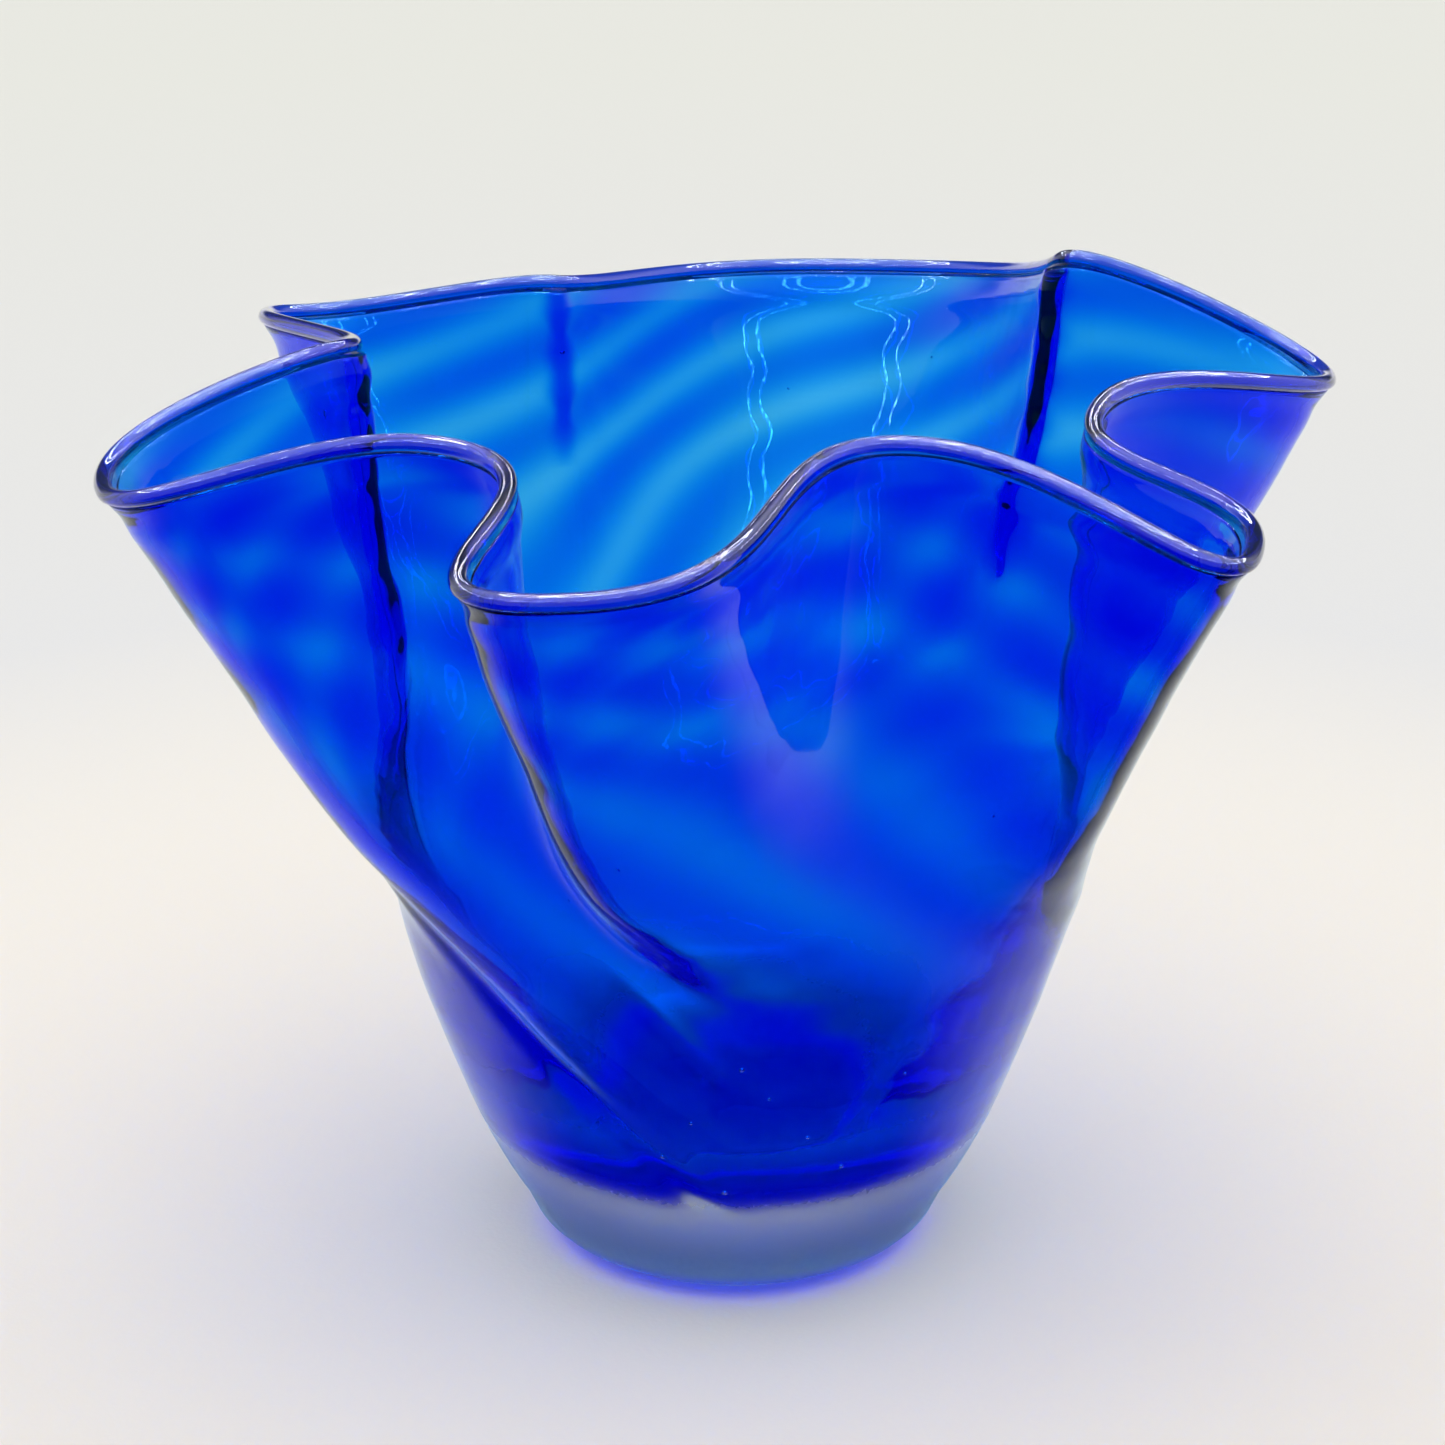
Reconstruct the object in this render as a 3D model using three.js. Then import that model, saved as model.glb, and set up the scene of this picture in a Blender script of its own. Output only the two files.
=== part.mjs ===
// Hand-blown ruffled art glass bowl, in millimetres, +Z up.
// The origin is the centre of the flat foot. One cobalt bubble lies inside a clear casing, and the
// open edge carries a rounded lip of clear glass. The wall starts as a round cup and is drawn into
// six outward lobes with six inward folds between them.
import * as THREE from 'three';

// Driving dimensions
const FOOT_RADIUS = 34;
const LIP_LEVEL = 186; // mean height of the lip's centre line
const LIP_RADIUS = 1.8; // the lip is a round bead, 3.6 thick
const LIP_CLEARANCE = 0.8; // the wall stops this far below the bead
const COBALT_THICKNESS = 1.5;
const LAYER_GAP = 0.3; // between the cobalt and the clear glass around it
const BUBBLE_FLOOR = 20; // underside of the cobalt bubble, above the solid clear base
const BUBBLE_FLOOR_THICKNESS = 2.4;
const BUBBLE_SHOULDER = 44; // height where the bubble's round bottom meets the straight wall
const BUBBLE_BOTTOM_SPREAD = 0.62; // how far out, of its rim, the bubble's bottom stays flat
const BUBBLE_SIDE_HANDLE = 10; // height over which the bottom's curve leans into the wall
const BUBBLE_SIDE_SLOPE = 1.8; // how much more the bubble flares there than the outer wall
const STEPS_PER_STATION = 7;
const SLOPE_STEP = 0.2; // share of a step over which a ring's direction is measured
const FLOOR_STEPS = 4;
const LIP_SIDES = 8;

// The lip's centre line, one row per lobe or fold, going anticlockwise as seen from above:
// angle in degrees, radius, height, run (how broad the bend is), skew of the bend in degrees, rise.
const LIP_STATIONS = [
  [17, 128.5, 177, 92, -7, 2],
  [38, 88, 196.5, 40, -20, -20],
  [79, 129, 178, 124, 3, -3],
  [119, 81, 187.5, 40, -6, 6],
  [140, 128.5, 178, 79, 0, 14],
  [167, 81, 187, 60, -8, 11],
  [200, 126.5, 176.5, 97, -8, -4],
  [233, 82.5, 190, 94, 12, -9],
  [257, 128, 181, 130, 10, 7],
  [292, 79, 193, 94, -11, -7],
  [316, 126, 178, 97, 30, 8],
  [345, 73, 185, 79, -11, 17],
];

// The wall, foot to lip: level, outer radius of the round cup, share of the ruffle that has
// developed, lean of the folds in degrees, thickness of the clear casing.
const WALL_ROWS = [
  [0, FOOT_RADIUS, 0, 78, 14],
  [2.5, 39.5, 0, 76, 14],
  [12, 46.5, 0, 70, 14],
  [26, 54, 0, 61, 13.5],
  [BUBBLE_SHOULDER, 61, 0, 49, 11],
  [62, 67, 0, 36, 8],
  [78, 71.5, 0.03, 25, 5.5],
  [92, 75.5, 0.12, 14, 3.8],
  [108, 80.5, 0.3, 5, 2.4],
  [124, 85.5, 0.46, 2, 1.8],
  [141, 91, 0.59, 1, 1.4],
  [159, 97, 0.74, 0, 1.3],
  [174, 101.5, 0.88, 0, 1.2],
  [LIP_LEVEL, 105.5, 1, 0, 1.2],
];
const CENTRE_LINE_INSET = 1.5; // the lip's centre line lies this far inside the wall's outer face
const LIP_CUP_RADIUS = 104;

const STATION_COUNT = LIP_STATIONS.length;
const COLUMNS = STATION_COUNT * STEPS_PER_STATION;
const WALL_TOP = LIP_LEVEL - LIP_RADIUS - LIP_CLEARANCE;

const { degToRad } = THREE.MathUtils;

// Station by index, its angle unwound so that it keeps growing round the lip.
function station(index) {
  const turns = Math.floor(index / STATION_COUNT);
  const [degrees, radius, height, run, skew, rise] = LIP_STATIONS[index - turns * STATION_COUNT];
  return { angle: degToRad(degrees + 360 * turns), radius, height, run, skew: degToRad(skew), rise };
}

// Cubic between two values with the given end slopes.
function hermite(t, start, end, startSlope, endSlope) {
  const s = 1 - t;
  return start * s * s * (1 + 2 * t) + startSlope * t * s * s
    + end * t * t * (3 - 2 * t) - endSlope * t * t * s;
}

// A point of the lip's centre line, and the cup angle of the glass that ends there.
function lipPoint(column) {
  const index = Math.floor(column / STEPS_PER_STATION);
  const t = column / STEPS_PER_STATION - index;
  const [before, a, b, after] = [-1, 0, 1, 2].map((step) => station(index + step));
  const headingA = a.angle + a.skew + Math.PI / 2;
  const headingB = b.angle + b.skew + Math.PI / 2;
  return {
    x: hermite(t, a.radius * Math.cos(a.angle), b.radius * Math.cos(b.angle),
      a.run * Math.cos(headingA), b.run * Math.cos(headingB)),
    y: hermite(t, a.radius * Math.sin(a.angle), b.radius * Math.sin(b.angle),
      a.run * Math.sin(headingA), b.run * Math.sin(headingB)),
    z: hermite(t, a.height, b.height, a.rise, b.rise),
    angle: hermite(t, a.angle, b.angle, (b.angle - before.angle) / 2, (after.angle - a.angle) / 2),
  };
}

const wallCurves = new THREE.CubicInterpolant(
  WALL_ROWS.map((row) => row[0]), WALL_ROWS.flatMap((row) => row.slice(1)), 4);

function wallRow(level) {
  const [radius, ruffle, lean, clear] = wallCurves.evaluate(level);
  return { level, radius, ruffle, lean: degToRad(lean), clear };
}

// A point of the surface that runs through the lip's centre line.
function midPoint(column, row) {
  const lip = lipPoint(column);
  const cup = row.radius - CENTRE_LINE_INSET - row.ruffle * LIP_CUP_RADIUS;
  const point = new THREE.Vector3(
    row.ruffle * lip.x + cup * Math.cos(lip.angle),
    row.ruffle * lip.y + cup * Math.sin(lip.angle),
    row.level + row.ruffle * (lip.z - LIP_LEVEL));
  return point.applyAxisAngle(new THREE.Vector3(0, 0, 1), row.lean);
}

// Direction along the ring at that point, anticlockwise.
function ringDirection(column, row) {
  return midPoint(column + SLOPE_STEP, row).sub(midPoint(column - SLOPE_STEP, row)).normalize();
}

// Level direction that points out of the bowl, square to the wall at that point.
function outward(column, row) {
  const along = ringDirection(column, row);
  return new THREE.Vector3(along.y, -along.x, 0).normalize();
}

// One ring round the wall, at a depth measured in from the outer face.
function wallRing(level, depthOf) {
  const row = wallRow(level);
  const offset = CENTRE_LINE_INSET - depthOf(row);
  return Array.from({ length: COLUMNS }, (_, column) =>
    midPoint(column, row).addScaledVector(outward(column, row), offset));
}

// Rings of the bubble's round bottom: a bowl that starts on the axis and joins the wall smoothly.
function floorRings(floor, depthOf) {
  const row = wallRow(BUBBLE_SHOULDER);
  const rim = row.radius - depthOf(row);
  const slope = (wallRow(BUBBLE_SHOULDER + 1).radius - row.radius) * BUBBLE_SIDE_SLOPE;
  const curve = new THREE.CubicBezierCurve(
    new THREE.Vector2(0, floor),
    new THREE.Vector2(rim * BUBBLE_BOTTOM_SPREAD, floor),
    new THREE.Vector2(rim - slope * BUBBLE_SIDE_HANDLE, BUBBLE_SHOULDER - BUBBLE_SIDE_HANDLE),
    new THREE.Vector2(rim, BUBBLE_SHOULDER));
  return curve.getPoints(FLOOR_STEPS).slice(0, -1).map(({ x: radius, y: height }) => {
    if (radius === 0) return [new THREE.Vector3(0, 0, height)];
    return Array.from({ length: COLUMNS }, (_, column) => {
      const angle = lipPoint(column).angle + row.lean;
      return new THREE.Vector3(radius * Math.cos(angle), radius * Math.sin(angle), height);
    });
  });
}

// Closed body from rings laid side by side. A ring of one point closes an end as a fan. From band
// turnAt on, the four-sided patches are split along their other diagonal.
function loft(rings, { joinEnds = false, turnAt = Infinity } = {}) {
  const starts = [];
  const positions = [];
  for (const ring of rings) {
    starts.push(positions.length / 3);
    for (const point of ring) positions.push(point.x, point.y, point.z);
  }
  const faces = [];
  const bands = joinEnds ? rings.length : rings.length - 1;
  for (let band = 0; band < bands; band += 1) {
    const next = (band + 1) % rings.length;
    const corner = (ring, k) => starts[ring] + (k % rings[ring].length);
    const patches = Math.max(rings[band].length, rings[next].length);
    for (let k = 0; k < patches; k += 1) {
      const [a, b, c, d] = [corner(band, k), corner(band, k + 1), corner(next, k + 1), corner(next, k)];
      const halves = band < turnAt ? [[a, b, c], [a, c, d]] : [[a, b, d], [b, c, d]];
      for (const half of halves) {
        if (new Set(half).size === 3) faces.push(...half);
      }
    }
  }
  const geometry = new THREE.BufferGeometry();
  geometry.setAttribute('position', new THREE.Float32BufferAttribute(positions, 3));
  geometry.setIndex(faces);
  geometry.computeVertexNormals();
  return geometry;
}

// Closed body between an outer and an inner face, both given as rings from the bottom up. The two
// faces are split alike, so that neighbouring layers stay parallel.
function shell(outerRings, innerRings) {
  return loft([...outerRings, ...innerRings.reverse()], { turnAt: outerRings.length });
}

const outerFace = () => 0;
const casingInside = (row) => row.clear;
const cobaltOutside = (row) => row.clear + LAYER_GAP;
const cobaltInside = (row) => row.clear + LAYER_GAP + COBALT_THICKNESS;

const levels = WALL_ROWS.map((row) => Math.min(row[0], WALL_TOP));
const upperLevels = levels.filter((level) => level >= BUBBLE_SHOULDER);

// Clear glass: the flat foot, the thick heel and a casing that thins upwards.
function clearCasing() {
  const foot = [new THREE.Vector3(0, 0, 0)];
  return shell(
    [foot, ...levels.map((level) => wallRing(level, outerFace))],
    [...floorRings(BUBBLE_FLOOR - LAYER_GAP, casingInside),
      ...upperLevels.map((level) => wallRing(level, casingInside))]);
}

// Cobalt glass: the blown bubble that lines the whole bowl.
function cobaltBubble() {
  return shell(
    [...floorRings(BUBBLE_FLOOR, cobaltOutside),
      ...upperLevels.map((level) => wallRing(level, cobaltOutside))],
    [...floorRings(BUBBLE_FLOOR + BUBBLE_FLOOR_THICKNESS, cobaltInside),
      ...upperLevels.map((level) => wallRing(level, cobaltInside))]);
}

// Clear lip: a round bead that follows the ruffled edge.
function lipBead() {
  const row = wallRow(LIP_LEVEL);
  const sections = Array.from({ length: COLUMNS }, (_, column) => {
    const centre = midPoint(column, row);
    const across = outward(column, row);
    const below = new THREE.Vector3().crossVectors(ringDirection(column, row), across).normalize();
    return Array.from({ length: LIP_SIDES }, (_, side) => {
      const turn = (side * 2 * Math.PI) / LIP_SIDES;
      return centre.clone()
        .addScaledVector(across, LIP_RADIUS * Math.cos(turn))
        .addScaledVector(below, LIP_RADIUS * Math.sin(turn));
    });
  });
  return loft(sections, { joinEnds: true });
}

function glass(colour, roughness) {
  return new THREE.MeshStandardMaterial({ color: colour, roughness, metalness: 0 });
}

const bowl = new THREE.Group();
const pieces = [
  ['clear_outer_casing', clearCasing(), glass('#a9bbc9', 0.06)],
  ['cobalt_inner_bubble', cobaltBubble(), glass('#0636c8', 0.04)],
  ['clear_lip_bead', lipBead(), glass('#8fa2bd', 0.05)],
];
for (const [name, geometry, material] of pieces) {
  const mesh = new THREE.Mesh(geometry, material);
  mesh.name = name;
  bowl.add(mesh);
}

export default bowl;
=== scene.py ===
"""Looks of the ruffled art glass bowl: cobalt glass inside clear glass, on a pale studio floor."""

import math

import bpy
import numpy as np
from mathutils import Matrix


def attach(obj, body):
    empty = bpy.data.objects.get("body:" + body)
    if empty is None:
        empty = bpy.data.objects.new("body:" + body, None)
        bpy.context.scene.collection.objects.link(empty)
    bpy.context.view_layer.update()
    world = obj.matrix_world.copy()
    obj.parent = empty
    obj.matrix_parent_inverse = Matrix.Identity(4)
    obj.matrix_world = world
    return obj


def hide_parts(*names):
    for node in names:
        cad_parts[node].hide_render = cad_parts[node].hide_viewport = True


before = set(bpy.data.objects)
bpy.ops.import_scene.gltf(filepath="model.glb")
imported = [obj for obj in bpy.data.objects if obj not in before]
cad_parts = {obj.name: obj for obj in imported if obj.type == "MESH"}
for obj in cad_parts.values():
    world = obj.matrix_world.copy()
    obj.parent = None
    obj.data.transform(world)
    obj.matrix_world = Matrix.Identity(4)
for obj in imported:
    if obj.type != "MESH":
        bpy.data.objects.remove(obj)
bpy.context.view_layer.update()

MM = 0.001

# Driving dimensions of the bowl, in millimetres, as the CAD parts have them
FOOT_RADIUS = 34
LIP_LEVEL = 186
LIP_RADIUS = 1.8
CORE_RADIUS = 1.35
COBALT_THICKNESS = 1.5
LAYER_GAP = 0.3
BUBBLE_FLOOR = 20
BUBBLE_FLOOR_THICKNESS = 2.4
BUBBLE_SHOULDER = 44
CENTRE_LINE_INSET = 1.5
LIP_CUP_RADIUS = 104

# The lip's centre line, one row per lobe or fold, going anticlockwise as seen from above:
# angle in degrees, radius, height, run, skew of the bend in degrees, rise.
LIP_STATIONS = np.array([
    [17, 128.5, 177, 92, -7, 2],
    [38, 88, 196.5, 40, -20, -20],
    [79, 129, 178, 124, 3, -3],
    [119, 81, 187.5, 40, -6, 6],
    [140, 128.5, 178, 79, 0, 14],
    [167, 81, 187, 60, -8, 11],
    [200, 126.5, 176.5, 97, -8, -4],
    [233, 82.5, 190, 94, 12, -9],
    [257, 128, 181, 130, 10, 7],
    [292, 79, 193, 94, -11, -7],
    [316, 126, 178, 97, 30, 8],
    [345, 73, 185, 79, -11, 17],
], float)

# The wall, foot to lip: level, outer radius of the round cup, share of the ruffle that has
# developed, lean of the folds in degrees, thickness of the clear casing, swirl of the optic ribs
# in degrees, strength of the ribs.
WALL_ROWS = np.array([
    [0, FOOT_RADIUS, 0, 78, 14, -52, 0],
    [2.5, 39.5, 0, 76, 14, -51, 0],
    [12, 46.5, 0, 70, 14, -46, 0],
    [26, 54, 0, 61, 13.5, -40, 0],
    [BUBBLE_SHOULDER, 61, 0, 49, 11, -33, 0],
    [62, 67, 0, 36, 8, -26, 0.05],
    [78, 71.5, 0.03, 25, 5.5, -19, 0.2],
    [92, 75.5, 0.12, 14, 3.8, -12, 0.5],
    [108, 80.5, 0.3, 5, 2.4, -4, 0.85],
    [124, 85.5, 0.46, 2, 1.8, 4, 1],
    [141, 91, 0.59, 1, 1.4, 15.5, 1],
    [159, 97, 0.74, 0, 1.3, 37.5, 0.95],
    [174, 101.5, 0.88, 0, 1.2, 59, 0.9],
    [LIP_LEVEL, 105.5, 1, 0, 1.2, 76, 0.8],
], float)

STEPS_PER_STATION = 44
WALL_STEP = 1.6
FLOOR_STEPS = 26
LIP_STEPS = 18
RIBS = 14
RIB_PHASE = 0.034
THIN_SHARE = 0.38  # how much thinner and thicker the ribs make the cobalt
COBALT_AT_BOTTOM = 1.6
COBALT_THINS = (0.2, 64, 44)  # share that the cobalt loses, between these two levels
COBALT_THICKENS = (0.3, 154, 182)  # share that it gains on the way to the lip
LEAST_CLEAR = 0.15  # clear glass left outside the cobalt where the cobalt is thickest
SKIN = 0.05  # clear glass left between the cobalt and the inside of the bowl
RIPPLE = 0.1  # height of the hand-worked waves in both faces of the wall
RIPPLE_FADES_IN = 16
RIPPLE_FADES_OUT = 10
BOTTOM_FLAT = 0.62  # how far the round bottom runs level, as a share of its radius
BOTTOM_TURN = 10  # how far it runs along the wall's slope below the shoulder
JOINT_DROP = 1.49  # from the lip's centre down to the joint where the wall is fused to it
JOINT_GAP = 0.02
LIP_ARC = (-30, 210)  # ends of the rolled rim's arc in degrees, from the outside over the top
CORE_ARC = (-40, 220)  # ends of the cobalt core's arc
CORE_JOINT_DROP = 0.3  # how far below the joint the cobalt's wall gives way to its core
NECK = (180.5, 3.2, 0.7)  # level, half height and depth of the slight neck below the lip
NECK_START = 170
NECK_STEP = 0.7
FOOT_LEVELS = [0, 0.4, 1.2, 2.5, 4, 6, 9, 12, 15, 18.5, 22, 26, 30, 35, 40]

# Soft creases that the folds leave in the clear glass below them: angle and level where each
# starts and ends, depth and half width.
CREASES = [
    ((203, 104), (276, 18), 1.3, 4.6),
    ((246, 96), (272, 56), 0.7, 4.0),
]

# Dark streaks where the cobalt gathered as the wall was folded: angle, lowest level, thickness
# added, half width. Part of each streak stands proud inside the bowl.
STREAKS = [
    (38, 120, 2.6, 4.0),
    (119, 146, 2.4, 2.4),
    (167, 112, 2.6, 3.4),
]
STREAK_FADES = 14
STREAK_PROUD = 0.7

# Seeds, small air bubbles in the clear glass: angle on the bowl in degrees, level, share of the
# clear layer's depth, half height, half width.
SEEDS = [
    (152, 168, 0.5, 1.3, 0.85), (118, 171, 0.5, 0.35, 0.3), (84, 158, 0.5, 0.3, 0.3),
    (66, 166, 0.5, 0.32, 0.28), (250, 118, 0.5, 0.4, 0.4), (271, 66, 0.45, 0.5, 0.5),
    (262, 52, 0.3, 0.4, 0.35), (284, 47, 0.6, 0.45, 0.4), (255, 41, 0.5, 0.6, 0.5),
    (292, 38, 0.35, 0.5, 0.45), (276, 58, 0.7, 0.35, 0.35), (301, 60, 0.4, 0.4, 0.35),
    (240, 62, 0.6, 0.45, 0.4), (268, 33, 0.4, 0.55, 0.5), (30, 74, 0.5, 0.45, 0.4),
    (200, 58, 0.5, 0.5, 0.4), (120, 49, 0.4, 0.55, 0.5), (340, 90, 0.5, 0.4, 0.4),
]
SEED_TURNS = 10
SEED_TILTS = 6
SEED_MOST_DEPTH = 0.35  # greatest half depth of a seed, as a share of the clear layer


# --- Shape -------------------------------------------------------------------------------------


def hermite(t, start, end, start_slope, end_slope):
    """Cubic between two values with the given end slopes."""
    s = 1 - t
    return (start * s * s * (1 + 2 * t) + start_slope * t * s * s
            + end * t * t * (3 - 2 * t) - end_slope * t * t * s)


def eased(value, start, end):
    """Goes smoothly from 0 at the start value to 1 at the end value."""
    share = np.clip((value - start) / (end - start), 0, 1)
    return share * share * (3 - 2 * share)


def smooth_rows(levels):
    """The wall's columns at any levels, on a smooth curve through its rows."""
    knots, values = WALL_ROWS[:, 0], WALL_ROWS[:, 1:]
    slopes = np.gradient(values, knots, axis=0)
    k = np.clip(np.searchsorted(knots, levels, side="right") - 1, 0, len(knots) - 2)
    width = (knots[k + 1] - knots[k])[:, None]
    t = (levels - knots[k])[:, None] / width
    rows = hermite(t, values[k], values[k + 1], slopes[k] * width, slopes[k + 1] * width)
    radius, ruffle, lean, clear, swirl, ribs = rows.T[:, :, None]
    return {"level": levels[:, None], "radius": radius, "ruffle": np.maximum(ruffle, 0),
            "lean": np.radians(lean), "clear": clear, "swirl": np.radians(swirl),
            "ribs": np.clip(ribs, 0, 1)}


def lip_line():
    """Points of the lip's centre line and the cup angle of the glass that ends there."""
    angle, radius, height, run, skew, rise = LIP_STATIONS.T
    angle = np.radians(angle)
    ahead = np.roll(angle, -1) + np.where(np.arange(len(angle)) == len(angle) - 1, math.tau, 0)
    behind = np.roll(angle, 1) - np.where(np.arange(len(angle)) == 0, math.tau, 0)
    heading = angle + np.radians(skew) + math.pi / 2
    turn = (ahead - behind) / 2
    t = np.arange(STEPS_PER_STATION) / STEPS_PER_STATION

    def through(values, slopes, next_values=None):
        following = np.roll(values, -1) if next_values is None else next_values
        return hermite(t[None], values[:, None], following[:, None],
                       slopes[:, None], np.roll(slopes, -1)[:, None]).ravel()

    return {"x": through(radius * np.cos(angle), run * np.cos(heading)),
            "y": through(radius * np.sin(angle), run * np.sin(heading)),
            "z": through(height, rise),
            "angle": through(angle, turn, ahead)}


LIP = lip_line()


def mid_surface(rows):
    """Points of the surface that runs through the lip's centre line, one ring per row."""
    cup = rows["radius"] - CENTRE_LINE_INSET - rows["ruffle"] * LIP_CUP_RADIUS
    x = rows["ruffle"] * LIP["x"] + cup * np.cos(LIP["angle"])
    y = rows["ruffle"] * LIP["y"] + cup * np.sin(LIP["angle"])
    z = rows["level"] + rows["ruffle"] * (LIP["z"] - LIP_LEVEL)
    c, s = np.cos(rows["lean"]), np.sin(rows["lean"])
    return np.stack([x * c - y * s, x * s + y * c, z], axis=-1)


def outward(points):
    """Level directions that point out of the bowl, square to each ring."""
    along = np.roll(points, -1, axis=1) - np.roll(points, 1, axis=1)
    level = np.stack([along[..., 1], -along[..., 0], np.zeros(along.shape[:2])], axis=-1)
    return level / np.linalg.norm(level, axis=-1, keepdims=True)


def rib_wave(rows):
    """Between -1 and 1: where the optic ribs lie, swirling round the bowl."""
    return rows["ribs"] * np.cos(RIBS * (LIP["angle"] + rows["swirl"] + RIB_PHASE))


def ripples(rows, shift):
    """Slow waves that tools and hands leave in the hot wall, between about -1 and 1."""
    angle = LIP["angle"] + rows["lean"]
    level = rows["level"]
    waves = (np.sin(level / 2.3 + 2.1 * np.sin(3 * angle + shift) + shift)
             + np.sin(level / 3.9 - 1.7 * np.sin(5 * angle - shift) + 2 * shift)
             + np.sin(19 * angle + level / 11 + shift))
    fade_in = np.clip((level - BUBBLE_SHOULDER) / RIPPLE_FADES_IN, 0, 1)
    return waves / 3 * fade_in * np.clip((LIP_LEVEL - level) / RIPPLE_FADES_OUT, 0, 1)


def creases(rows):
    """Depth of the soft creases that run down from the folds."""
    angle = np.degrees(LIP["angle"] + rows["lean"])
    depth = 0 * angle
    for (start_angle, top), (end_angle, bottom), deepest, half_width in CREASES:
        along = (top - rows["level"]) / (top - bottom)
        path = start_angle + (end_angle - start_angle) * along
        apart = np.radians((angle - path + 180) % 360 - 180) * rows["radius"]
        ends = eased(np.minimum(along, 1 - along), 0, 0.25)
        depth = depth + deepest * ends * np.exp(-(apart / half_width) ** 2)
    return depth


def streaks(rows):
    """Thickness that the cobalt gains along the folds."""
    extra = 0 * (LIP["angle"] + rows["level"])
    for angle, bottom, most, half_width in STREAKS:
        apart = (LIP["angle"] - math.radians(angle) + math.pi) % math.tau - math.pi
        uneven = 1 + 0.35 * np.sin(rows["level"] / 1.9) * np.sin(rows["level"] / 5.3)
        fade = np.clip((rows["level"] - bottom) / STREAK_FADES, 0, 1)
        extra = extra + most * fade * np.exp(-(apart * rows["radius"] / half_width / uneven) ** 2)
    return extra


def wall(levels, depth_of):
    """Rings of one face of the wall, at a depth measured in from the outer face."""
    rows = smooth_rows(np.asarray(levels, float))
    points = mid_surface(rows)
    level, half_height, deepest = NECK
    neck = deepest * np.exp(-((rows["level"] - level) / half_height) ** 2)
    offset = CENTRE_LINE_INSET - depth_of(rows) - neck
    return points + outward(points) * offset[..., None]


def round_floor(floor, depth_of):
    """Rings of a round bottom that starts on the axis and joins the wall smoothly."""
    near = smooth_rows(np.array([BUBBLE_SHOULDER, BUBBLE_SHOULDER + 1.0]))
    radii = near["radius"] - depth_of(near)
    rim = float(np.mean(radii[0]))
    slope = float(np.mean(radii[1] - radii[0]))
    lean = float(near["lean"][0, 0])
    t = np.linspace(0, 1, FLOOR_STEPS, endpoint=False)[:, None]
    handles = [(0, floor), (rim * BOTTOM_FLAT, floor),
               (rim - slope * BOTTOM_TURN, BUBBLE_SHOULDER - BOTTOM_TURN), (rim, BUBBLE_SHOULDER)]
    a, b, c, d = (np.array(p, float) for p in handles)
    outline = a * (1 - t) ** 3 + 3 * b * t * (1 - t) ** 2 + 3 * c * t * t * (1 - t) + d * t ** 3
    angle = LIP["angle"] + lean
    return [np.stack([r * np.cos(angle), r * np.sin(angle), np.full(angle.shape, z)], axis=-1)
            for r, z in outline[1:]], (0, 0, floor)


def body(name, outer, inner, low_pole, high_pole, material, hollows=((), ())):
    """Closed mesh from an outer and an inner face, rings from the bottom up, and any hollows."""
    rings = np.concatenate([outer, inner[::-1]])
    count, columns = rings.shape[:2]
    verts = [low_pole, *rings.reshape(-1, 3).tolist(), high_pole]
    k = np.arange(columns)
    following = (k + 1) % columns
    faces = [(0, 1 + a, 1 + b) for a, b in zip(following, k)]
    for ring in range(count - 1):
        low, high = 1 + ring * columns, 1 + (ring + 1) * columns
        faces += np.stack([low + k, low + following, high + following, high + k], 1).tolist()
    last = 1 + (count - 1) * columns
    faces += [(last + b, last + a, len(verts) - 1) for a, b in zip(following, k)]
    hollow_verts, hollow_faces = hollows
    faces += [tuple(len(verts) + k for k in face) for face in hollow_faces]
    return piece(name, np.array([*verts, *hollow_verts]) * MM, faces, material)


def add_mesh(name, verts, faces, material):
    """New object in the scene, its points in metres."""
    mesh = bpy.data.meshes.new(name)
    mesh.from_pydata([tuple(v) for v in verts], [], [tuple(f) for f in faces])
    mesh.validate()
    mesh.materials.append(material)
    made = bpy.data.objects.new(name, mesh)
    bpy.context.scene.collection.objects.link(made)
    return made


def piece(name, verts, faces, material):
    """Smooth-shaded piece of the bowl."""
    made = add_mesh(name, verts, faces, material)
    made.data.polygons.foreach_set("use_smooth", [True] * len(made.data.polygons))
    made.data.update()
    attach(made, "root")
    return made


# --- Materials ---------------------------------------------------------------------------------


# Shares of red, green and blue that each glass takes away, per metre
CLEAR_ABSORBS = (2, 1.5, 0.5)
LIP_ABSORBS = (140, 105, 60)
COBALT_ABSORBS = (3700, 860, 8)

# Pairs of levels in millimetres: each finish is full below the first and gone above the second
SATIN = (20, 42)
# Next: levels of the painted shade that darkens the clear heel's tint
HEEL_PAINTED_SHADE_LEVELS = (10, 28)
# Next: levels of a painted blue glow in the tint at the foot's edge, which also tints the light
# that reaches the floor
PAINTED_BLUE_GLOW_LEVELS = (2, 8)
# Next: levels of the ground foot, rough, with wear and painted shade in its tint
GROUND_FOOT = (0.2, 0.6)

# Finishes, as shades for the lows and highs of a fine grain
# Painted shade: a dark tint in the heel, standing in for the shaded floor seen through it
HEEL_PAINTED_SHADE_TINTS = [(0.3, (0.30, 0.37, 0.24)), (0.75, (0.36, 0.43, 0.28))]
# Wear on the ground foot, darkened with painted shade
WORN_AND_PAINTED_SHADE_FOOT = [(0.3, (0.34, 0.38, 0.46)), (0.75, (0.55, 0.6, 0.68))]
CLEAR_SHADES = [(0.3, (0.97, 0.98, 0.985)), (0.7, (1, 1, 1))]
COBALT_SHADES = [(0.3, (0.94, 0.96, 1)), (0.7, (1, 1, 1))]
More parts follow.
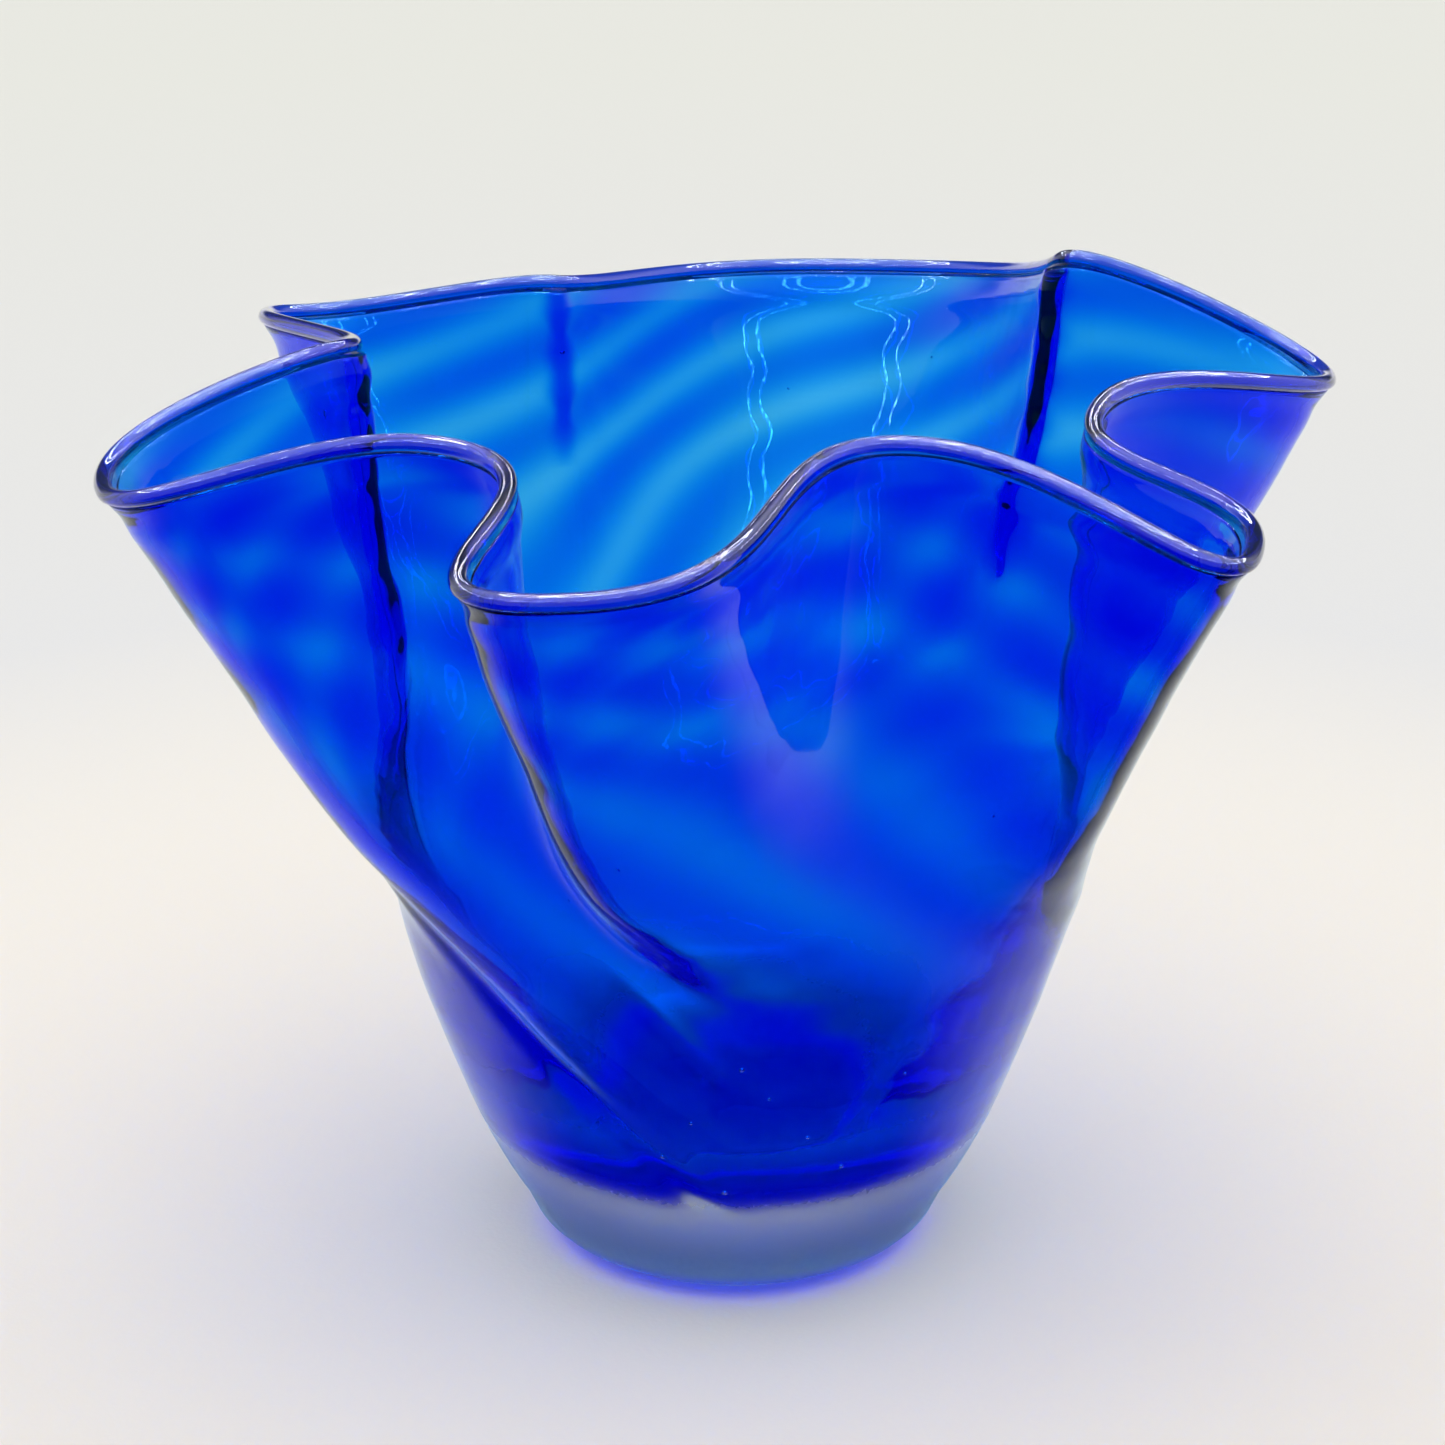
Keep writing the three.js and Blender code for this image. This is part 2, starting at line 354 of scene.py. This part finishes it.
# Painted glow: blue tint at the foot's edge, standing in for the blue light at the base; it also
# tints light passing to the floor
PAINTED_BLUE_GLOW_COLOUR = (0.02, 0.03, 1.0)

GLASS_IOR = 1.5
WALL_GLOSS = (0.02, 0.3, 1)
LIP_GLOSS = (0.4, 0.6, 1)
HAZE = 0.45
HAZE_ROUGHNESS = 0.22
HAZE_TINT = (0.45, 0.85, 1)
GROUND_ROUGHNESS = 0.75
SURFACE_WAVES = 0.0003  # height in metres

# The paper sweep by distance from the bowl, as a share of PAPER_FAR metres. Near the bowl it has
# painted light: brighter and warmer, offsetting the shade and blue light that the bowl casts.
PAPER_FAR = 1.4
PAPER_WITH_PAINTED_LIGHT = [(0.04, (0.93, 0.85, 0.71)), (0.1, (0.90, 0.835, 0.71)),
                (0.3, (0.70, 0.705, 0.715)), (1, (0.71, 0.72, 0.685))]
PAPER_GRAIN = 0.00005  # height in metres


def new_material(name):
    material = bpy.data.materials.new(name)
    material.use_nodes = True
    nodes, links = material.node_tree.nodes, material.node_tree.links
    shader = nodes["Principled BSDF"]
    coordinates = nodes.new("ShaderNodeTexCoord")
    return material, nodes, links, shader, coordinates.outputs["Object"]


def noise(nodes, links, place, scale, detail=3, stretch=(1, 1, 1)):
    mapping = nodes.new("ShaderNodeMapping")
    mapping.inputs["Scale"].default_value = stretch
    links.new(place, mapping.inputs["Vector"])
    texture = nodes.new("ShaderNodeTexNoise")
    texture.inputs["Scale"].default_value = scale
    texture.inputs["Detail"].default_value = detail
    links.new(mapping.outputs["Vector"], texture.inputs["Vector"])
    return texture.outputs["Fac"]


def ramp(nodes, links, value, stops):
    made = nodes.new("ShaderNodeValToRGB")
    links.new(value, made.inputs["Fac"])
    elements = made.color_ramp.elements
    while len(elements) < len(stops):
        elements.new(0.5)
    for element, (position, colour) in zip(elements, stops):
        element.position = position
        element.color = (*colour, 1)
    return made.outputs["Color"]


def bump(nodes, links, height, distance, strength=1.0):
    made = nodes.new("ShaderNodeBump")
    made.inputs["Strength"].default_value = strength
    made.inputs["Distance"].default_value = distance
    links.new(height, made.inputs["Height"])
    return made.outputs["Normal"]


def grey(value):
    return (value, value, value)


def clear_glass(name, absorbed, finish_of, gloss):
    """Clear glass with slow waves and smudges, that bends no light where it is fused."""
    material, nodes, links, shader, place = new_material(name)
    shader.inputs["Transmission Weight"].default_value = 1
    shader.inputs["Specular Tint"].default_value = (*gloss, 1)
    shader.inputs["Sheen Weight"].default_value = HAZE
    shader.inputs["Sheen Roughness"].default_value = HAZE_ROUGHNESS
    shader.inputs["Sheen Tint"].default_value = (*HAZE_TINT, 1)
    waves = noise(nodes, links, place, 55, 2, (1, 1, 0.6))
    colour = ramp(nodes, links, waves, CLEAR_SHADES)
    roughness, colour = finish_of(nodes, links, place, colour)
    links.new(colour, shader.inputs["Base Color"])
    links.new(roughness, shader.inputs["Roughness"])
    links.new(bump(nodes, links, waves, SURFACE_WAVES), shader.inputs["Normal"])
    joint = nodes.new("ShaderNodeAttribute")
    joint.attribute_name = "fused"
    bending = nodes.new("ShaderNodeMapRange")
    bending.inputs["To Min"].default_value = GLASS_IOR
    bending.inputs["To Max"].default_value = 1.0
    links.new(joint.outputs["Fac"], bending.inputs["Value"])
    links.new(bending.outputs["Result"], shader.inputs["IOR"])
    shader.inputs["IOR"].default_value = GLASS_IOR
    add_absorption(material, absorbed)
    return material


def smudged(nodes, links, place, colour):
    """Polished glass with faint smudges."""
    smudges = noise(nodes, links, place, 35, 4)
    return ramp(nodes, links, smudges, [(0.45, grey(0.0)), (0.8, grey(0.03))]), colour


def smudged_with_painted_heel_shade(nodes, links, place, colour):
    """Polished wall over a satin heel with painted shade in its tint and a painted blue glow at its
    edge, and a ground, scuffed foot darkened with painted shade.
    """
    height = nodes.new("ShaderNodeSeparateXYZ")
    links.new(place, height.inputs[0])

    def above(levels):
        return share_between(nodes, links, height.outputs["Z"], levels[0] * MM, levels[1] * MM)

    roughness, colour = smudged(nodes, links, place, colour)
    grain = noise(nodes, links, place, 700, 3)
    satin = ramp(nodes, links, grain, [(0.3, grey(0.42)), (0.75, grey(0.52))])
    # Painted shade in the heel's tint, with a painted blue glow at the foot's edge
    heel_painted_shade_and_glow = ramp(nodes, links, grain, HEEL_PAINTED_SHADE_TINTS)
    heel_painted_shade_and_glow = blend(nodes, links, above(PAINTED_BLUE_GLOW_LEVELS), PAINTED_BLUE_GLOW_COLOUR, heel_painted_shade_and_glow)
    roughness = blend(nodes, links, above(SATIN), satin, roughness)
    colour = blend(nodes, links, above(HEEL_PAINTED_SHADE_LEVELS), heel_painted_shade_and_glow, colour)
    # Wear and painted shade in the ground foot's tint
    worn_and_shaded_foot = ramp(nodes, links, noise(nodes, links, place, 420, 4), WORN_AND_PAINTED_SHADE_FOOT)
    polished = above(GROUND_FOOT)
    roughness = blend(nodes, links, polished, grey(GROUND_ROUGHNESS), roughness)
    return roughness, blend(nodes, links, polished, worn_and_shaded_foot, colour)


def share_between(nodes, links, value, low, high):
    """Goes smoothly from 0 at the low value to 1 at the high one."""
    share = nodes.new("ShaderNodeMapRange")
    share.interpolation_type = "SMOOTHSTEP"
    share.inputs["From Min"].default_value = low
    share.inputs["From Max"].default_value = high
    links.new(value, share.inputs["Value"])
    return share.outputs["Result"]


def blend(nodes, links, share, low, high):
    """Colour that goes from low to high as the share goes from 0 to 1."""
    mix = nodes.new("ShaderNodeMix")
    mix.data_type = "RGBA"
    links.new(share, mix.inputs["Factor"])
    for end, value in (("A", low), ("B", high)):
        socket = next(i for i in mix.inputs if i.name == end and i.type == "RGBA")
        if isinstance(value, tuple):
            socket.default_value = (*value, 1)
        else:
            links.new(value, socket)
    return next(o for o in mix.outputs if o.type == "RGBA")


def add_absorption(material, absorbed):
    """Volume that takes away the given shares of red, green and blue per metre of glass."""
    strongest = max(absorbed)
    nodes, links = material.node_tree.nodes, material.node_tree.links
    volume = nodes.new("ShaderNodeVolumeAbsorption")
    volume.inputs["Color"].default_value = (*(1 - a / strongest for a in absorbed), 1)
    volume.inputs["Density"].default_value = strongest
    links.new(volume.outputs["Volume"], nodes["Material Output"].inputs["Volume"])


def cobalt_glass():
    """Cobalt that only colours the light, with faint streaks: the clear glass round it bends it."""
    material, nodes, links, shader, place = new_material("cobalt_glass")
    shader.inputs["Transmission Weight"].default_value = 1
    shader.inputs["IOR"].default_value = 1.0
    shader.inputs["Roughness"].default_value = 0
    cloudy = noise(nodes, links, place, 30, 3, (1, 1, 0.4))
    links.new(ramp(nodes, links, cloudy, COBALT_SHADES), shader.inputs["Base Color"])
    add_absorption(material, COBALT_ABSORBS)
    return material


def floor_material():
    """Pale paper sweep with painted light: brighter and warmer near the bowl, offsetting the shade
    and blue light that the bowl casts on it.
    """
    material, nodes, links, shader, place = new_material("studio_floor")
    distance = nodes.new("ShaderNodeVectorMath")
    distance.operation = "LENGTH"
    links.new(place, distance.inputs[0])
    near_to_far = nodes.new("ShaderNodeMapRange")
    near_to_far.inputs["From Max"].default_value = PAPER_FAR
    links.new(distance.outputs["Value"], near_to_far.inputs["Value"])
    # Painted light: the paper is brighter and warmer near the bowl
    links.new(ramp(nodes, links, near_to_far.outputs["Result"], PAPER_WITH_PAINTED_LIGHT),
              shader.inputs["Base Color"])
    grain = noise(nodes, links, place, 900, 3)
    links.new(bump(nodes, links, grain, PAPER_GRAIN), shader.inputs["Normal"])
    shader.inputs["Roughness"].default_value = 0.75
    shader.inputs["Specular IOR Level"].default_value = 0.2
    return material


# --- Bowl --------------------------------------------------------------------------------------


def outer_face(rows):
    return creases(rows) + RIPPLE * ripples(rows, 0.4)


def inner_depth(rows):
    thickness = rows["clear"] + LAYER_GAP + COBALT_THICKNESS
    return thickness + RIPPLE * ripples(rows, 2.6) + STREAK_PROUD * streaks(rows)


def cobalt_inside(rows):
    return inner_depth(rows) - SKIN


def cobalt_outside(rows):
    lost, thins_from, thins_to = COBALT_THINS
    gained, thickens_from, thickens_to = COBALT_THICKENS
    fullness = (1 - lost * eased(rows["level"], thins_from, thins_to)
                + gained * eased(rows["level"], thickens_from, thickens_to))
    ribbed = 1 + THIN_SHARE * rib_wave(rows)
    thickness = COBALT_THICKNESS * fullness * ribbed + streaks(rows)
    return cobalt_inside(rows) - np.minimum(thickness, cobalt_inside(rows) - LEAST_CLEAR)


def wall_levels(start, top_drop=0.0):
    top = LIP_LEVEL - JOINT_DROP - JOINT_GAP - top_drop
    below = np.linspace(start, NECK_START, round((NECK_START - start) / WALL_STEP), endpoint=False)
    neck = np.linspace(NECK_START, top, round((top - NECK_START) / NECK_STEP))
    return np.concatenate([below, neck])


def seed_frame(angle, level, share):
    """Centre of a seed, the level directions out of and along the wall, and the clear layer."""
    rows = smooth_rows(np.array([float(level)]))
    line = mid_surface(rows)
    across = outward(line)[0]
    line = line[0]
    apart = np.arctan2(line[:, 1], line[:, 0]) - math.radians(angle)
    column = np.argmin(np.abs((apart + math.pi) % math.tau - math.pi))
    clear, crease = rows["clear"][0, 0], creases(rows)[0, column]
    out = across[column]
    depth = share * (clear - crease)
    centre = line[column] + out * (CENTRE_LINE_INSET - depth - crease)
    return centre, out, np.array([-out[1], out[0], 0]), clear


def seed_points(centre, wide, deep, half_height):
    """Points of a ball from its low pole up, with the given half axes."""
    points = [centre - (0, 0, half_height)]
    for tilt in np.linspace(-math.pi / 2, math.pi / 2, SEED_TILTS + 1)[1:-1]:
        for turn in np.arange(SEED_TURNS) * math.tau / SEED_TURNS:
            flat = wide * math.cos(turn) + deep * math.sin(turn)
            points.append(centre + flat * math.cos(tilt) + (0, 0, half_height * math.sin(tilt)))
    return [*points, centre + (0, 0, half_height)]


def seed_faces(first):
    """Faces of a ball whose points start at this index, wound to face into the air inside."""
    faces = []
    last = first + 1 + (SEED_TILTS - 1) * SEED_TURNS
    for k in range(SEED_TURNS):
        beyond = (k + 1) % SEED_TURNS
        faces.append((first, first + 1 + beyond, first + 1 + k))
        for ring in range(SEED_TILTS - 2):
            low = first + 1 + ring * SEED_TURNS
            high = low + SEED_TURNS
            faces.append((low + k, low + beyond, high + beyond, high + k))
        faces.append((last - SEED_TURNS + k, last - SEED_TURNS + beyond, last))
    return faces


def seed_shapes():
    """Points and faces of all the air bubbles."""
    verts, faces = [], []
    for angle, level, share, half_height, half_width in SEEDS:
        centre, out, side, clear = seed_frame(angle, level, share)
        half_depth = min(half_width, SEED_MOST_DEPTH * clear)
        faces += seed_faces(len(verts))
        verts += seed_points(centre, side * half_width, out * half_depth, half_height)
    return verts, faces


def mark_fused(made, fused):
    """Face attribute that tells the glass where it is fused to its neighbour."""
    values = made.data.attributes.new("fused", "FLOAT", "FACE").data
    values.foreach_set("value", [float(fused(p)) for p in made.data.polygons])


def make_casing():
    """The whole clear wall as one solid, from the inside of the bowl out, with its seeds."""
    upper = wall_levels(BUBBLE_SHOULDER)
    outer = wall(np.concatenate([FOOT_LEVELS, upper]), outer_face)
    floor, pole = round_floor(BUBBLE_FLOOR + BUBBLE_FLOOR_THICKNESS, inner_depth)
    inner = np.concatenate([floor, wall(upper, inner_depth)])
    glass = clear_glass("clear_casing_glass", CLEAR_ABSORBS, smudged_with_painted_heel_shade, WALL_GLOSS)
    made = body("clear_casing", outer, inner, (0, 0, 0), pole, glass, seed_shapes())
    columns = outer.shape[1]
    first = columns * len(outer)
    mark_fused(made, lambda face: first <= face.index < first + columns)
    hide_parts("clear_outer_casing")


def lip_rings(radius, first, last, count):
    """Rings of an arc round the lip's centre line, from the outside over the top to the inside."""
    centre = mid_surface(smooth_rows(np.array([float(LIP_LEVEL)])))
    across = outward(centre)[0]
    centre = centre[0]
    along = np.roll(centre, -1, axis=0) - np.roll(centre, 1, axis=0)
    along /= np.linalg.norm(along, axis=-1, keepdims=True)
    up = np.cross(across, along)
    turn = np.radians(np.linspace(first, last, count))
    return [centre + radius * (across * math.cos(a) + up * math.sin(a)) for a in turn]


def make_cobalt():
    """The cobalt just under the inside of the bowl, and on into the middle of the lip."""
    upper = wall_levels(BUBBLE_SHOULDER, CORE_JOINT_DROP)
    high_level = BUBBLE_FLOOR + BUBBLE_FLOOR_THICKNESS - SKIN
    low_floor, low_pole = round_floor(high_level - COBALT_AT_BOTTOM, cobalt_outside)
    high_floor, high_pole = round_floor(high_level, cobalt_inside)
    core = lip_rings(CORE_RADIUS, *CORE_ARC, LIP_STEPS)
    outer = np.concatenate([low_floor, wall(upper, cobalt_outside), core])
    inner = np.concatenate([high_floor, wall(upper, cobalt_inside)])
    made = body("cobalt_bubble", outer, inner, low_pole, high_pole, cobalt_glass())
    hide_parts("cobalt_inner_bubble")


def make_lip():
    """Rolled rim: most of a circle round the lip's centre line, closed by the fused joint."""
    joint = np.array([LIP_LEVEL - JOINT_DROP])
    edges = wall(joint, outer_face)[0], wall(joint, inner_depth)[0]
    arc = lip_rings(LIP_RADIUS, *LIP_ARC, LIP_STEPS)
    section = np.stack([edges[0], *arc, edges[1]], axis=1)
    count, sides = section.shape[:2]
    faces = []
    for k in range(count):
        this, following = k * sides, (k + 1) % count * sides
        for side in range(sides):
            beyond = (side + 1) % sides
            faces.append((this + side, following + side, following + beyond, this + beyond))
    material = clear_glass("clear_lip_glass", LIP_ABSORBS, smudged, LIP_GLOSS)
    coat = material.node_tree.nodes["Principled BSDF"].inputs
    coat["Sheen Weight"].default_value = 0
    coat["Coat Weight"].default_value = 1.0
    coat["Coat IOR"].default_value = GLASS_IOR
    coat["Coat Roughness"].default_value = 0.02
    made = piece("clear_lip", section.reshape(-1, 3) * MM, faces, material)
    mark_fused(made, lambda face: face.index % sides == sides - 1)
    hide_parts("clear_lip_bead")


make_casing()
make_cobalt()
make_lip()


# --- Studio, in metres -------------------------------------------------------------------------


FLOOR_HALF = 6.0
FLOOR_LEVEL = -0.0002
FLAG_RADII = (0.05, 1.6)
FLAG_LEVEL = 0.001
FLAG_FADES = (0.0, -0.7)  # Y of the direction from the bowl where the card begins, and is full
# Painted shade for the reflections: colour of the dark card
PAINTED_REFLECTION_SHADE_COLOUR = (0.01, 0.01, 0.015)
LAMP_RINGS = (0.1, 0.16, 0.5, 0.62)
LAMP_WIDTH = 0.016
LAMP_HEIGHT = 0.56
LAMPS_IN_A_RING = 90
LAMP_STRENGTH = 45
RING_STEPS = 96
ROOF = (1.75, 1.72, 1.66)
DIM_ROOM = (0.06, 0.08, 0.13)
BACKDROP = (0.80, 0.81, 0.77)  # seen beyond the floor's far edge
LIGHT_BOUNCES = 40  # light crosses and reflects inside the layers many times


def make_floor():
    corners = [(-FLOOR_HALF, -FLOOR_HALF), (FLOOR_HALF, -FLOOR_HALF),
               (FLOOR_HALF, FLOOR_HALF), (-FLOOR_HALF, FLOOR_HALF)]
    verts = [(x, y, FLOOR_LEVEL) for x, y in corners]
    add_mesh("studio_floor", verts, [(0, 1, 2, 3)], floor_material())


def bare_material(name):
    """Material with no shader yet, its nodes and links, and its surface socket."""
    material = bpy.data.materials.new(name)
    material.use_nodes = True
    nodes, links = material.node_tree.nodes, material.node_tree.links
    nodes.clear()
    return material, nodes, links, nodes.new("ShaderNodeOutputMaterial").inputs["Surface"]


def painted_reflection_shade_material():
    """Dark card that fades out towards both sides: painted shade that only the glass's reflections
    show.
    """
    material, nodes, links, surface = bare_material("painted_reflection_shade_card")
    direction = nodes.new("ShaderNodeVectorMath")
    direction.operation = "NORMALIZE"
    links.new(nodes.new("ShaderNodeTexCoord").outputs["Object"], direction.inputs[0])
    to_front = nodes.new("ShaderNodeSeparateXYZ")
    links.new(direction.outputs["Vector"], to_front.inputs[0])
    mix = nodes.new("ShaderNodeMixShader")
    links.new(share_between(nodes, links, to_front.outputs["Y"], *FLAG_FADES), mix.inputs[0])
    links.new(nodes.new("ShaderNodeBsdfTransparent").outputs[0], mix.inputs[1])
    dark = nodes.new("ShaderNodeBsdfDiffuse")
    dark.inputs["Color"].default_value = (*PAINTED_REFLECTION_SHADE_COLOUR, 1)
    links.new(dark.outputs[0], mix.inputs[2])
    links.new(mix.outputs[0], surface)
    return material


def make_painted_reflection_shade():
    """Half ring of dark card in front of the bowl, seen only in the glass's gloss: a painted dark
    reflection over the floor in the front walls.
    """
    turn = np.linspace(math.pi, math.tau, 25)
    count = len(turn)
    ring = [(math.cos(a) * r, math.sin(a) * r, 0.0) for r in FLAG_RADII for a in turn]
    faces = [(k, k + 1, count + k + 1, count + k) for k in range(count - 1)]
    card = add_mesh("painted_reflection_shade_card", ring, faces, painted_reflection_shade_material())
    card.location.z = FLAG_LEVEL
    card.visible_camera = False
    card.visible_diffuse = False
    card.visible_transmission = False
    card.visible_shadow = False


def make_world():
    """White studio: bright roof, pale sides, and a dim room behind that only the glass sees."""
    world = bpy.data.worlds.new("studio")
    bpy.context.scene.world = world
    world.use_nodes = True
    nodes, links = world.node_tree.nodes, world.node_tree.links
    direction = nodes.new("ShaderNodeSeparateXYZ")
    links.new(nodes.new("ShaderNodeTexCoord").outputs["Generated"], direction.inputs[0])
    height, depth = direction.outputs["Z"], direction.outputs["Y"]
    front_to_back = ramp(nodes, links, share_between(nodes, links, depth, -1, 1),
                         [(0, grey(0.4)), (0.3, grey(0.6)), (0.45, grey(0.85)), (1, grey(0.9))])
    roof = share_between(nodes, links, height, 0.55, 0.8)
    studio = blend(nodes, links, roof, front_to_back, ROOF)
    dim = nodes.new("ShaderNodeMath")
    dim.operation = "MULTIPLY"
    links.new(share_between(nodes, links, depth, 0.5, 0.85), dim.inputs[0])
    links.new(share_between(nodes, links, height, 0.02, 0.14), dim.inputs[1])
    room = blend(nodes, links, dim.outputs[0], studio, DIM_ROOM)
    seen_directly = nodes.new("ShaderNodeLightPath").outputs["Is Camera Ray"]
    links.new(blend(nodes, links, seen_directly, room, BACKDROP),
              nodes["Background"].inputs["Color"])


def lamp_material():
    """Bright lamps with dim gaps between them, all round a ring."""
    material, nodes, links, surface = bare_material("led_ring")
    turn = nodes.new("ShaderNodeTexGradient")
    turn.gradient_type = "RADIAL"
    links.new(nodes.new("ShaderNodeTexCoord").outputs["Object"], turn.inputs["Vector"])
    lamps = nodes.new("ShaderNodeMath")
    lamps.operation = "MULTIPLY"
    lamps.inputs[1].default_value = LAMPS_IN_A_RING
    links.new(turn.outputs["Fac"], lamps.inputs[0])
    place = nodes.new("ShaderNodeMath")
    place.operation = "FRACT"
    links.new(lamps.outputs[0], place.inputs[0])
    emission = nodes.new("ShaderNodeEmission")
    emission.inputs["Strength"].default_value = LAMP_STRENGTH
    stops = [(0, grey(0.1)), (0.4, grey(0.1)), (0.5, grey(1)), (0.9, grey(1)), (1, grey(0.1))]
    links.new(ramp(nodes, links, place.outputs[0], stops), emission.inputs["Color"])
    links.new(emission.outputs["Emission"], surface)
    return material


def make_led_rings():
    """Rings of small lamps in the studio's roof. They show as fine lines on the glass."""
    material = lamp_material()
    angles = np.arange(RING_STEPS) * math.tau / RING_STEPS
    beyond = [(k + 1) % RING_STEPS for k in range(RING_STEPS)]
    faces = [(k, b, RING_STEPS + b, RING_STEPS + k) for k, b in enumerate(beyond)]
    for radius in LAMP_RINGS:
        verts = [(math.cos(a) * r, math.sin(a) * r, 0.0)
                 for r in (radius, radius + LAMP_WIDTH) for a in angles]
        ring = add_mesh(f"led_ring_{round(radius * 1000)}", verts, faces, material)
        ring.location.z = LAMP_HEIGHT
        ring.visible_camera = False
        ring.visible_diffuse = False


def make_camera():
    data = bpy.data.cameras.new("camera")
    data.sensor_width = 36
    data.lens = 84.56
    data.clip_start = 0.01
    data.clip_end = 50
    camera = bpy.data.objects.new("camera", data)
    camera.location = (-0.0026, -0.6539, 0.3633)
    camera.rotation_euler = (math.radians(90 - 21.012), 0, 0)
    bpy.context.scene.collection.objects.link(camera)
    bpy.context.scene.camera = camera


make_floor()
make_painted_reflection_shade()
make_world()
make_led_rings()
make_camera()
bpy.context.scene.view_settings.view_transform = "Standard"
bpy.context.scene.cycles.transmission_bounces = LIGHT_BOUNCES
bpy.context.scene.cycles.glossy_bounces = LIGHT_BOUNCES
bpy.context.scene.cycles.max_bounces = LIGHT_BOUNCES
